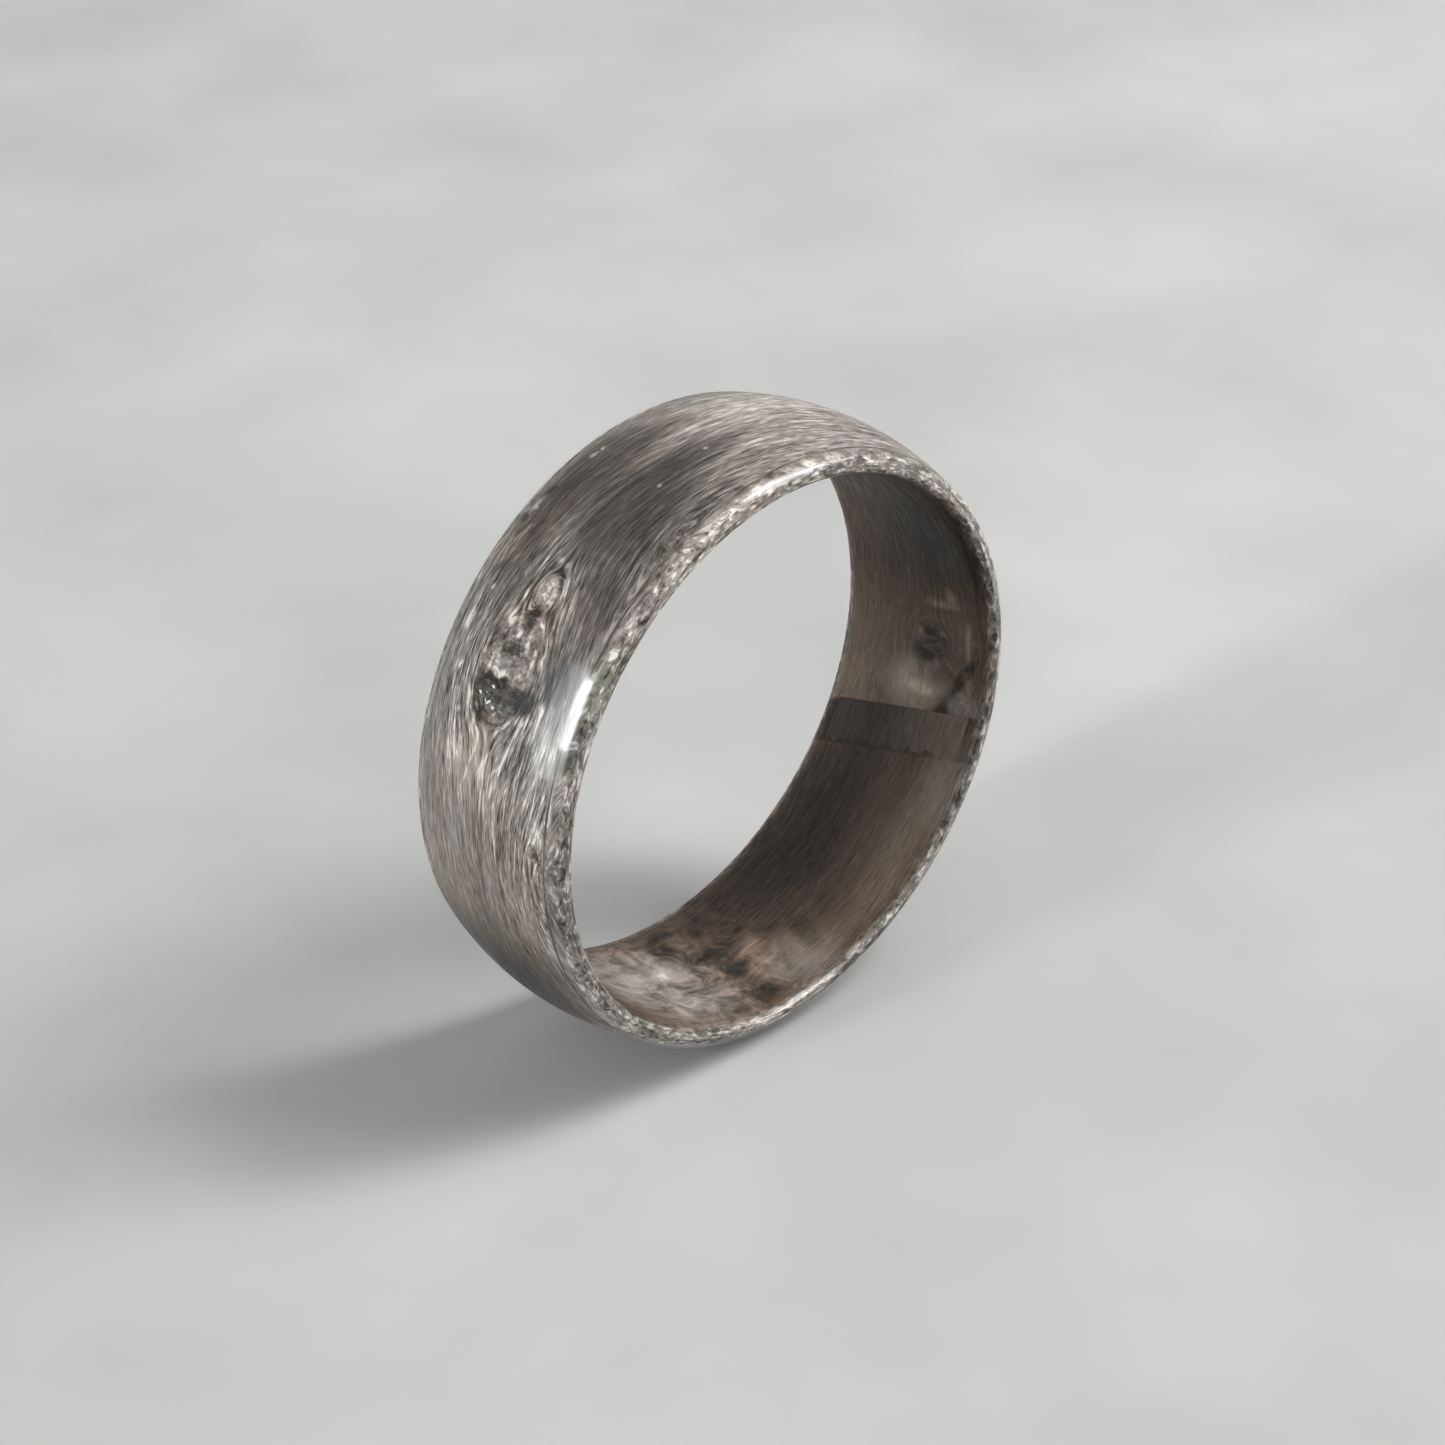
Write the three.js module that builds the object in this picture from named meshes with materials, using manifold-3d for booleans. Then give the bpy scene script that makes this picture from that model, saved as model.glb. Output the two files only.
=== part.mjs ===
// A bentwood wedding band. One thin strip of grey weathered veneer is steamed, wound on itself
// three times and bonded, then turned to a low dome, with its knots filled and the whole band
// sealed under clear hard coats. There is no metal and no stone in it.
//
// Millimetres. The origin is the centre of the ring, the finger hole runs along Y, and Z is up:
// the band stands on its rim. Angles go round Y from +X towards +Z, so 90 degrees is the top.
import * as THREE from "three";
import { mergeVertices } from "three/addons/utils/BufferGeometryUtils.js";
import Module from "manifold-3d";

const wasm = await Module();
wasm.setup();

// Driving dimensions.
const BORE_RADIUS = 9.6; // the finished finger hole
const BAND_WIDTH = 7;
const DOME_RADIUS = 9.85; // the arc of the outside, seen across the band
const CORNER_ROUND = 0.3; // where the dome meets a side face
const BORE_ROUND = 0.33; // where a side face meets the finger hole

const VENEER = 0.39; // thickness of the strip
const GLUE = 0.03; // thickness of the bond between two turns
const TURNS = 3;
const BORE_COAT = 0.08;
const OUTER_COAT = 0.09; // over the dome
const SIDE_COAT = 0.06; // over the side faces
const GAP = 0.005; // left between two pieces that are bonded

const START = 340; // angle of the strip's inner end
const WEDGE = 10; // the next turn begins to climb this far before that end
const TAPER = 20; // and is a full thickness further out this far past it
const LAST_CUT = 10; // the outer end is cut off this far past the inner one

const SEGMENTS = 72; // facets round the band
const STEP = 360 / SEGMENTS;
const DOME_STEPS = 6; // facets across the dome
const ROUND_STEPS = 2; // facets across a rounded edge
const OVERSHOOT = 1; // how far a raw solid runs past the body that trims it

// Sizes that follow from them.
const PITCH = VENEER + GLUE;
const HALF_WIDTH = BAND_WIDTH / 2;
const WOOD_BORE = BORE_RADIUS + BORE_COAT;
const WOOD_CROWN = WOOD_BORE + TURNS * PITCH;
const CROWN_RADIUS = WOOD_CROWN + OUTER_COAT;
const DOME_CENTRE = CROWN_RADIUS - DOME_RADIUS;
const EDGE_RADIUS = BORE_RADIUS + BORE_ROUND; // where the flat of a side face begins

// Knots whose heart was cut out and filled. The hole is an ellipsoid centred on the wood's surface.
const KNOTS = [
  { name: "knot_fill_large", angle: 152.5, y: 0.2, radius: WOOD_CROWN, size: [0.7, 1, 0.3] },
  { name: "knot_fill_small", angle: 145.5, y: -0.1, radius: WOOD_CROWN, size: [0.35, 0.45, 0.22] },
  { name: "knot_fill_bore", angle: 356, y: -0.9, radius: WOOD_BORE, size: [0.5, 0.7, 0.25] },
];

// A closed mesh as a solid for joining and cutting.
function solid(geometry) {
  const bare = new THREE.BufferGeometry();
  bare.setAttribute("position", geometry.getAttribute("position"));
  bare.setIndex(geometry.index);
  const merged = mergeVertices(bare, 1e-5);
  const vertProperties = merged.getAttribute("position").array;
  const triVerts = new Uint32Array(merged.index.array);
  return new wasm.Manifold(new wasm.Mesh({ numProp: 3, vertProperties, triVerts }));
}

// A solid back as a named mesh.
function piece(name, body, colour, roughness) {
  const mesh = body.getMesh();
  const geometry = new THREE.BufferGeometry();
  geometry.setAttribute("position", new THREE.BufferAttribute(mesh.vertProperties, 3));
  geometry.setIndex(new THREE.BufferAttribute(mesh.triVerts, 1));
  geometry.computeVertexNormals();
  const material = new THREE.MeshStandardMaterial({ color: colour, roughness, metalness: 0 });
  const made = new THREE.Mesh(geometry, material);
  made.name = name;
  return made;
}

// Points on an arc, both ends included. Angles are from the radius axis towards the width axis.
function arc(centreRadius, centreY, radius, from, to, steps) {
  return Array.from({ length: steps + 1 }, (_, i) => {
    const angle = from + ((to - from) * i) / steps;
    return new THREE.Vector2(
      centreRadius + radius * Math.cos(angle),
      centreY + radius * Math.sin(angle),
    );
  });
}

// The dome and its two rounded corners, drawn in from the finished surface, from -Y to +Y.
function domeLine(coat, sideCoat) {
  const dome = DOME_RADIUS - coat;
  const half = HALF_WIDTH - sideCoat;
  const corner = CORNER_ROUND - coat;
  const cornerY = half - corner;
  const cornerRadius = DOME_CENTRE + Math.sqrt((dome - corner) ** 2 - cornerY ** 2);
  const lean = Math.atan2(cornerY, cornerRadius - DOME_CENTRE);
  return [
    ...arc(cornerRadius, -cornerY, corner, -Math.PI / 2, -lean, ROUND_STEPS),
    ...arc(DOME_CENTRE, 0, dome, -lean, lean, DOME_STEPS).slice(1, -1),
    ...arc(cornerRadius, cornerY, corner, lean, Math.PI / 2, ROUND_STEPS),
  ];
}

// The finger hole and its two rounded edges, from +Y to -Y, drawn in from the finished surface.
function boreLine(coat, sideCoat) {
  const round = BORE_ROUND - coat;
  const roundY = HALF_WIDTH - sideCoat - round;
  return [
    ...arc(EDGE_RADIUS, roundY, round, Math.PI / 2, Math.PI, ROUND_STEPS),
    ...arc(EDGE_RADIUS, -roundY, round, Math.PI, (3 * Math.PI) / 2, ROUND_STEPS),
  ];
}

// The body that a closed outline sweeps round the finger hole. LatheGeometry turns about Y.
function turned(outline) {
  return solid(new THREE.LatheGeometry([...outline, outline[0]], SEGMENTS));
}

// How many turns lie under the strip at a given angle from its inner end: a whole number, with
// a smooth climb at each pass over the two tapered ends.
function turnsUnder(angle) {
  let count = 0;
  for (let turn = 1; turn <= TURNS; turn += 1) {
    count += THREE.MathUtils.smoothstep(angle, 360 * turn - WEDGE, 360 * turn + TAPER);
  }
  return count;
}

const innerFace = (angle) => WOOD_BORE + GAP + PITCH * turnsUnder(angle);
const outerFace = (angle) => innerFace(angle + 360) - GLUE;

// A sheet that lies between two radii from one angle to another, as wide as the band and more.
// A sheet that starts with no thickness comes to a point there.
function wound(from, to, inner, outer) {
  const count = Math.round((to - from) / STEP);
  const point = (i, radius) => {
    const along = from + i * STEP;
    const angle = THREE.MathUtils.degToRad(START + along);
    return new THREE.Vector2(radius(along) * Math.cos(angle), radius(along) * Math.sin(angle));
  };
  const rising = Array.from({ length: count + 1 }, (_, i) => point(i, outer));
  const falling = Array.from({ length: count + 1 }, (_, i) => point(count - i, inner));
  if (outer(from) === inner(from)) falling.pop();
  const depth = BAND_WIDTH + 2 * OVERSHOOT;
  const sheet = new THREE.ExtrudeGeometry(new THREE.Shape([...rising, ...falling]), {
    depth,
    bevelEnabled: false,
  });
  return solid(sheet.rotateX(Math.PI / 2).translate(0, depth / 2, 0));
}

// The filled hole of a knot, grown by a margin: its size is round the band, across it and deep.
function knotHole({ angle, y, radius, size }, margin) {
  const turn = THREE.MathUtils.degToRad(angle);
  const [round, across, deep] = size.map((half) => half + margin);
  const hole = new THREE.SphereGeometry(1, 16, 8).scale(deep, across, round);
  return solid(hole.rotateY(-turn).translate(radius * Math.cos(turn), y, radius * Math.sin(turn)));
}

const woodBody = turned([...domeLine(OUTER_COAT, SIDE_COAT), ...boreLine(BORE_COAT, SIDE_COAT)]);
const beyondCrown = () => WOOD_CROWN + OVERSHOOT;

// The strip: three turns and a little more, trimmed to the band's outline, with its knots cut out.
function makeStrip() {
  const lastClimb = 360 * (TURNS - 1) + TAPER;
  const outside = (angle) => (angle > lastClimb ? beyondCrown() : outerFace(angle));
  const whole = wound(0, 360 * TURNS + LAST_CUT, innerFace, outside);
  const cut = KNOTS.reduce((rest, knot) => rest.subtract(knotHole(knot, GAP)), whole);
  return piece("veneer_strip", cut.intersect(woodBody), "#7d766c", 0.6);
}

// The bond: one spiral film between each turn and the next.
function makeGlue() {
  const inner = (angle) => outerFace(angle) + GAP;
  const outer = (angle) => innerFace(angle + 360) - GAP;
  const film = wound(0, 360 * (TURNS - 1) + LAST_CUT, inner, outer);
  return piece("glue_film", film.intersect(woodBody), "#3a3029", 0.3);
}

// Wood dust set in glue, in the thin wedge under the second turn where it meets the inner end.
function makeInnerFill() {
  const floor = () => WOOD_BORE + GAP;
  const roof = (angle) => Math.max(floor(), innerFace(angle + 360) - GAP);
  const wedge = wound(-WEDGE, 0, floor, roof);
  return piece("inner_end_fill", wedge.intersect(woodBody), "#4a3d33", 0.4);
}

// The same in the wedge past the outer end. The dome leaves only its middle, over the crown.
function makeOuterFill() {
  const floor = (angle) => outerFace(angle - 360) + GAP;
  const wedge = wound(360 * TURNS + LAST_CUT, 360 * TURNS + TAPER, floor, beyondCrown);
  return piece("outer_end_fill", wedge.intersect(woodBody), "#4a3d33", 0.4);
}

// A plug of filler in each knot, flush with the wood.
function makeKnotFill(knot) {
  return piece(knot.name, knotHole(knot, 0).intersect(woodBody), "#2b2827", 0.35);
}

// The coat over the dome, its corners and the flats of both side faces.
function makeOuterCoat() {
  const hem = EDGE_RADIUS + GAP;
  const under = HALF_WIDTH - SIDE_COAT + GAP;
  return piece("outer_coat", turned([
    new THREE.Vector2(hem, -HALF_WIDTH),
    ...domeLine(0, 0),
    new THREE.Vector2(hem, HALF_WIDTH),
    new THREE.Vector2(hem, under),
    ...domeLine(OUTER_COAT - GAP, SIDE_COAT - GAP).reverse(),
    new THREE.Vector2(hem, -under),
  ]), "#d9d8d3", 0.08);
}

// The coat in the finger hole, round both its edges.
function makeBoreCoat() {
  const wood = boreLine(BORE_COAT - GAP, SIDE_COAT - GAP).reverse();
  return piece("bore_coat", turned([...boreLine(0, 0), ...wood]), "#d9d8d3", 0.1);
}

const band = new THREE.Group();
band.add(makeStrip(), makeGlue(), makeInnerFill(), makeOuterFill());
band.add(...KNOTS.map(makeKnotFill));
band.add(makeOuterCoat(), makeBoreCoat());
export default band;
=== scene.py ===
import math

import bpy
import numpy as np
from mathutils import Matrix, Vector


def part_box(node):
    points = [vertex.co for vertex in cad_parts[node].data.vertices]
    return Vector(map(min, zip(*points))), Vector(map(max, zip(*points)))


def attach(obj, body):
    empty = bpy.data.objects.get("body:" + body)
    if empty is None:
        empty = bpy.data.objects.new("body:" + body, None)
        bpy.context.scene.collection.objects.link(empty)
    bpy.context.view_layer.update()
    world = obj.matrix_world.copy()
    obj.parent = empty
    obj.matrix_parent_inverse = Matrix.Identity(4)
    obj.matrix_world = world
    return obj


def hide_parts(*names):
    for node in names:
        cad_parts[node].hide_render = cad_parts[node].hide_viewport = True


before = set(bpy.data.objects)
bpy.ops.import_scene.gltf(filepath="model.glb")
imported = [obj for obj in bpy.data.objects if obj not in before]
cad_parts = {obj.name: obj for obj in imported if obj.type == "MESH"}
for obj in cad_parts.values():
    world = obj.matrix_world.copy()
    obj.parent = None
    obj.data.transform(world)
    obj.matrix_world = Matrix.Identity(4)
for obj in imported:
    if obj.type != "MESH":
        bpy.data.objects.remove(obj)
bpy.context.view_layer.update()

MM = 0.001

# ---------------------------------------------------------------- sizes

COAT_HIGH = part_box("outer_coat")[1] / MM
WOOD_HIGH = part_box("veneer_strip")[1] / MM
CROWN = COAT_HIGH.z
HALF_WIDTH = COAT_HIGH.y
WOOD_CROWN = WOOD_HIGH.z
WOOD_HALF = WOOD_HIGH.y
EDGE_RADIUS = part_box("bore_coat")[1].z / MM

# The CAD model's driving dimensions that no box gives. Sanded and polished by hand, its 0.3 mm
# corners look a little softer, and the edges of the finger hole ease in over a wider stretch.
DOME_RADIUS = 9.85
CORNER_ROUND = 0.55
BORE_ROUND = 0.33
BORE_EASE = 1.1
BORE_COAT = 0.08
GLUE = 0.014  # the film alone, without the gaps that keep the CAD solids apart
TURNS = 3
START = 340
WEDGE = 10
TAPER = 20
LAST_CUT = 10

OUTER_COAT = CROWN - WOOD_CROWN
SIDE_COAT = HALF_WIDTH - WOOD_HALF
WOOD_BORE = EDGE_RADIUS - BORE_ROUND + BORE_COAT
PITCH = (WOOD_CROWN - WOOD_BORE) / TURNS
DOME_CENTRE = CROWN - DOME_RADIUS
LAP_SKEW = -1.5  # degrees round for each mm across: the strip's ends are cut a little askew
PROUD = 0.003  # how far a glue line or a filler stands over the wood, under the coat

AROUND = 560  # columns of the wood's mesh
DENSE_AT = 146  # where they stand closest together, over the knots
DENSE_REACH = 26
DENSE_GAIN = 1.6
GIRTH = 2 * math.pi * WOOD_CROWN
COAT_AROUND = 480  # columns of a coat's mesh
COAT_WAVER = 0.006  # how far hand polishing leaves a coat uneven
NOISE_ROWS = 512  # how many rows of cells a noise table has before it repeats

OUTSIDE_FROM = 10.37  # the radii between which a side face turns into the outside
OUTSIDE_FULL = 10.58
BORE_FULL = 0.02  # the distances from the wood's bore between which its side turns into a side face
BORE_GONE = 0.18
RISE = 1.3  # how far the outside's grain wanders across the band, and where round it
RISE_AT = 128
RISE_REACH = 40
MARK_DEPTH = 0.03  # how deep the darkest small marks are sunk
PIT_DEPTH = 0.04  # how deep the wood is hollowed under a knot's filler
PLUG_DEPTH = 0.12
MARK_GAIN = 1.4  # how strongly the small marks show
CLEAR_IOR = 1.49  # the clear coats
HAZE_SHARE = 0.4  # how much of a coat's reflection is a soft haze
BARE_SPECULAR = 0.12  # the wood and the fillers hardly shine: the coat over them does


# ---------------------------------------------------------------- outlines and meshes

def arc(centre_radius, centre_y, radius, start, stop, count, width=None):
    """Points (radius, y) on an arc, with its last point left to the next stretch. With a width of
    its own across the band it is part of an ellipse."""
    angle = np.linspace(start, stop, count, endpoint=False)
    across = (width or radius) * np.sin(angle)
    return np.stack([centre_radius + radius * np.cos(angle), centre_y + across], -1)


def line(start, stop, count):
    """Points (radius, y) on a straight stretch, with its last point left to the next one."""
    return np.linspace(start, stop, count, endpoint=False)


def dome_stretch(inset, side, dome_count, corner_count):
    """The dome with its two rounded corners, from -Y to +Y, drawn in from the finished surface."""
    dome = DOME_RADIUS - inset
    corner = CORNER_ROUND - inset
    corner_y = HALF_WIDTH - side - corner
    corner_radius = DOME_CENTRE + math.sqrt((dome - corner) ** 2 - corner_y ** 2)
    lean = math.atan2(corner_y, corner_radius - DOME_CENTRE)
    return [
        arc(corner_radius, -corner_y, corner, -math.pi / 2, -lean, corner_count),
        arc(DOME_CENTRE, 0, dome, -lean, lean, dome_count),
        arc(corner_radius, corner_y, corner, lean, math.pi / 2, corner_count),
    ]


def bore_stretch(inset, side, bore_count, edge_count):
    """The finger hole with its two rounded edges, from +Y to -Y."""
    edge = BORE_ROUND - inset
    ease = BORE_EASE - inset
    edge_y = HALF_WIDTH - side - ease
    bore = EDGE_RADIUS - edge
    return [
        arc(EDGE_RADIUS, edge_y, edge, math.pi / 2, math.pi, edge_count, ease),
        line((bore, edge_y), (bore, -edge_y), bore_count),
        arc(EDGE_RADIUS, -edge_y, edge, math.pi, 1.5 * math.pi, edge_count, ease),
    ]


def flat_radius(inset, side):
    """Where the flat of a side face ends and the corner begins."""
    corner = CORNER_ROUND - inset
    corner_y = HALF_WIDTH - side - corner
    return DOME_CENTRE + math.sqrt((DOME_RADIUS - inset - corner) ** 2 - corner_y ** 2)


def outward(outline):
    """Unit vectors (radius, y) that point out of a closed outline."""
    along = np.roll(outline, -1, axis=0) - np.roll(outline, 1, axis=0)
    out = np.stack([along[:, 1], -along[:, 0]], -1)
    return out / np.linalg.norm(out, axis=1, keepdims=True)


def place(radius, y, angle):
    """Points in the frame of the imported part, in metres."""
    turn = np.radians(angle)
    radius, y, turn = np.broadcast_arrays(radius, y, turn)
    return np.stack([radius * np.cos(turn), y, radius * np.sin(turn)], -1) * MM


def mesh_piece(name, vertices, faces):
    """A smooth-shaded object from points and faces, which rides on the band."""
    mesh = bpy.data.meshes.new(name)
    mesh.from_pydata(vertices.reshape(-1, 3).tolist(), [], faces.tolist())
    mesh.shade_smooth()
    piece = bpy.data.objects.new(name, mesh)
    bpy.context.scene.collection.objects.link(piece)
    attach(piece, "root")
    return piece


def torus_faces(around, across):
    """Quads over a grid that closes on itself both ways, and the grid places of their corners."""
    i, j = np.meshgrid(np.arange(around), np.arange(across), indexing="ij")
    corners_i = np.stack([i, i, i + 1, i + 1], -1).reshape(-1, 4)
    corners_j = np.stack([j, j + 1, j + 1, j], -1).reshape(-1, 4)
    return (corners_i % around) * across + corners_j % across, corners_i, corners_j


def slab_faces(rows, columns):
    """Quads of a closed slab from two grids of points, the one nearer the band's axis first: rows
    run round the band and columns across it."""
    i, j = np.meshgrid(np.arange(rows - 1), np.arange(columns - 1), indexing="ij")
    top = np.stack([i * columns + j, (i + 1) * columns + j,
                    (i + 1) * columns + j + 1, i * columns + j + 1], -1).reshape(-1, 4)
    below = rows * columns
    rim = [i * columns for i in range(rows)]
    rim += [(rows - 1) * columns + j for j in range(1, columns)]
    rim += [i * columns + columns - 1 for i in range(rows - 2, -1, -1)]
    rim += list(range(columns - 2, 0, -1))
    walls = [[a, a + below, b + below, b] for a, b in zip(rim, rim[1:] + rim[:1])]
    return np.concatenate([top, top[:, ::-1] + below, np.array(walls)])


def set_vectors(mesh, name, domain, values):
    """Stores one vector for each face corner or each point."""
    made = mesh.attributes.new(name, "FLOAT_VECTOR", domain)
    made.data.foreach_set("vector", values.astype(np.float32).ravel())


def set_look(piece, fleck, towards, pale):
    """Stores a filler's shades: its pale specks, partly painted glints, its ashen side, and how far it
    matches pale wood.
    """
    look = np.stack(np.broadcast_arrays(fleck, towards, pale), -1).reshape(-1, 3)
    set_vectors(piece.data, "look", "POINT", np.concatenate([look, look]))


def set_grain(piece, angle, y, depth):
    """Stores how far along, across and into the strip each point of a slab lies, in mm."""
    along, across, into = np.broadcast_arrays(np.radians(angle) * WOOD_CROWN, y, depth)
    layer = np.stack([along, across, into], -1).reshape(-1, 3)
    set_vectors(piece.data, "grain", "POINT", np.concatenate([layer, layer]))


# ---------------------------------------------------------------- the wound strip

def smoothstep(value, low, high):
    """From 0 to 1 as value goes from low to high, with soft ends."""
    share = np.clip((value - low) / (high - low), 0, 1)
    return share * share * (3 - 2 * share)


def climb(along):
    """How far the turns have stepped out over the strip's inner end, from 0 to 1."""
    return smoothstep(along, -WEDGE, TAPER)


def turn_number(radius, along):
    """Which turn of the strip holds a point, counted from the inner end, with its depth in it."""
    return (radius - WOOD_BORE) / PITCH + 1 - climb(along)


def angle_at(along, y):
    """The angle round the band of a point that far past the strip's skew-cut inner end."""
    return START + LAP_SKEW * y + along


def value_noise(u, v, seed, period):
    """Smooth noise from -1 to 1, one cell per unit, that repeats after period cells of u."""
    table = np.random.default_rng(seed).uniform(-1, 1, (period, NOISE_ROWS))
    cell_u = np.floor(u).astype(int)
    cell_v = np.floor(v).astype(int)
    share_u = u - cell_u
    share_v = v - cell_v
    share_u = share_u * share_u * (3 - 2 * share_u)
    share_v = share_v * share_v * (3 - 2 * share_v)

    def at(i, j):
        return table[(cell_u + i) % period, (cell_v + j) % NOISE_ROWS]

    low = at(0, 0) * (1 - share_u) + at(1, 0) * share_u
    high = at(0, 1) * (1 - share_u) + at(1, 1) * share_u
    return low * (1 - share_v) + high * share_v


def streaks(flow, length, width, seed):
    """Streaky noise along the grain: cells of a given length and width."""
    period = max(1, round(GIRTH / length))
    return value_noise(flow[0] * period / GIRTH, flow[1] / width, seed, period)


# Knots that the grain bends round: angle, y, how far they reach across, and how drawn out they are.
OUTER_KNOTS = [
    (148, -0.05, 1.12, 1.75),
    (133.8, -0.2, 0.42, 1.5),
    (116.3, -3.0, 0.5, 2.2),
    (181, -3.6, 0.9, 2.4),
    (176, -2.5, 0.2, 1.8),
    (121, 2.8, 0.35, 1.8),
    (107, 2.35, 0.14, 1.6),
    (246, 1.1, 0.6, 1.8),
    (18, -1.5, 0.45, 2.0),
    (318, 2.0, 0.7, 2.0),
]
BORE_KNOTS = [
    (356.5, -0.8, 0.75, 1.3),
    (350, -2.4, 0.3, 2.4),
    (264, 0.2, 0.6, 1.5),
    (135, 0.6, 0.6, 1.6),
]

# Broad patches of lighter or darker wood, and some rows of painted shade and painted reflection, as
# marked:
# angle, where across, how far they reach round (degrees) and across (mm), and how much lighter they are.
# In the finger hole, where across is y. On the outside it is y less the grain's own rise at that angle,
# so that a patch follows the grain.
OUTER_TONES = [
    (75, 0.35, 17, 1.4, 0.20),
    (96, -0.2, 9, 0.4, 0.10),
    (98, -1.3, 8, 0.5, -0.16),
    (80, -2.1, 15, 0.8, 0.07),
    (114, -1.75, 18, 1.25, -0.36),
    (134, -3.2, 8, 1.0, -0.14),
    (117, -3.6, 17, 1.2, -0.22),
    (111, 1.0, 17, 1.6, -0.36),
    (134, 0.3, 10, 0.9, -0.16),
    (146, -3.0, 6, 0.7, -0.22),
    (165, -0.3, 6, 1.3, 0.23),
    # partly painted highlight: the next two rows lighten the near edge where the corner's reflection
    # spreads a pale haze
    (157, -2.9, 5, 0.6, 0.22),
    (168, -3.1, 9, 0.6, 0.22),
    (180, 1.0, 14, 2.2, -0.03),
    # painted shade: the next row darkens the underside of the outside, which faces down and away from the
    # light
    (211, 0.6, 15, 3.6, -0.44),
    (40, -1.0, 18, 2.0, -0.05),
    (300, 0.5, 25, 1.6, 0.08),
    (5, 1.2, 14, 1.2, -0.14),
    (265, -1.5, 14, 1.5, -0.12),
]
BORE_TONES = [
    (250, -0.3, 20, 3.6, 0.37),
    # painted reflection and painted light: the rows from here to (367, -2.5) lighten the finger hole
    # towards and along its near edge, where the coat reflects the bright surroundings and the lights
    # reach in
    (281, -1.9, 9, 1.5, 0.26),
    (316, -2.4, 32, 1.0, 0.25),
    (322, -0.9, 20, 1.2, 0.15),
    (332, -2.8, 14, 0.9, 0.20),
    (361, -0.8, 11, 2.4, 0.14),
    (367, -2.5, 11, 1.0, 0.10),
    (346, -0.2, 6, 1.3, 0.34),
    (349, 2.0, 14, 2.2, 0.14),
    (306, 1.9, 24, 1.9, -0.09),
    # painted shade: the next row darkens the side of the finger hole that faces away from the light
    (384, -1.6, 16, 2.2, -0.10),
    (386, 2.0, 10, 1.5, 0.08),
    (140, 0.0, 60, 4.0, 0.18),
]
BORE_PAINTED_SHADE = -0.33  # painted shade: the finger hole's side of the strip is darkened, though it is the same wood as its outside
# Warmer, browner patches in the same way; a negative one is a cooler, greener grey.
OUTER_WARMTH = [
    (78, 0.0, 20, 2.6, -0.10),
    (108, 1.0, 22, 1.3, 0.32),
    (112, -1.9, 18, 1.0, -0.26),
    (93, 1.9, 3, 0.4, 0.6),
    (111, 1.7, 4, 0.3, 0.6),
    (185, 0.0, 22, 4.0, 0.16),
    (210, 0.0, 20, 3.0, 0.16),
]
BORE_WARMTH = [
    (305, 0.5, 42, 4.0, 0.7),
    (262, 0.0, 20, 3.0, 0.02),
    (370, 0.0, 28, 4.0, 0.15),
]
# Where the finger hole's side is cloudy instead of streaked.
BORE_CLOUDS = [
    (257, -0.3, 24, 4.0, 1.0),
    (347, -1.0, 10, 2.0, 0.6),
]

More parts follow.
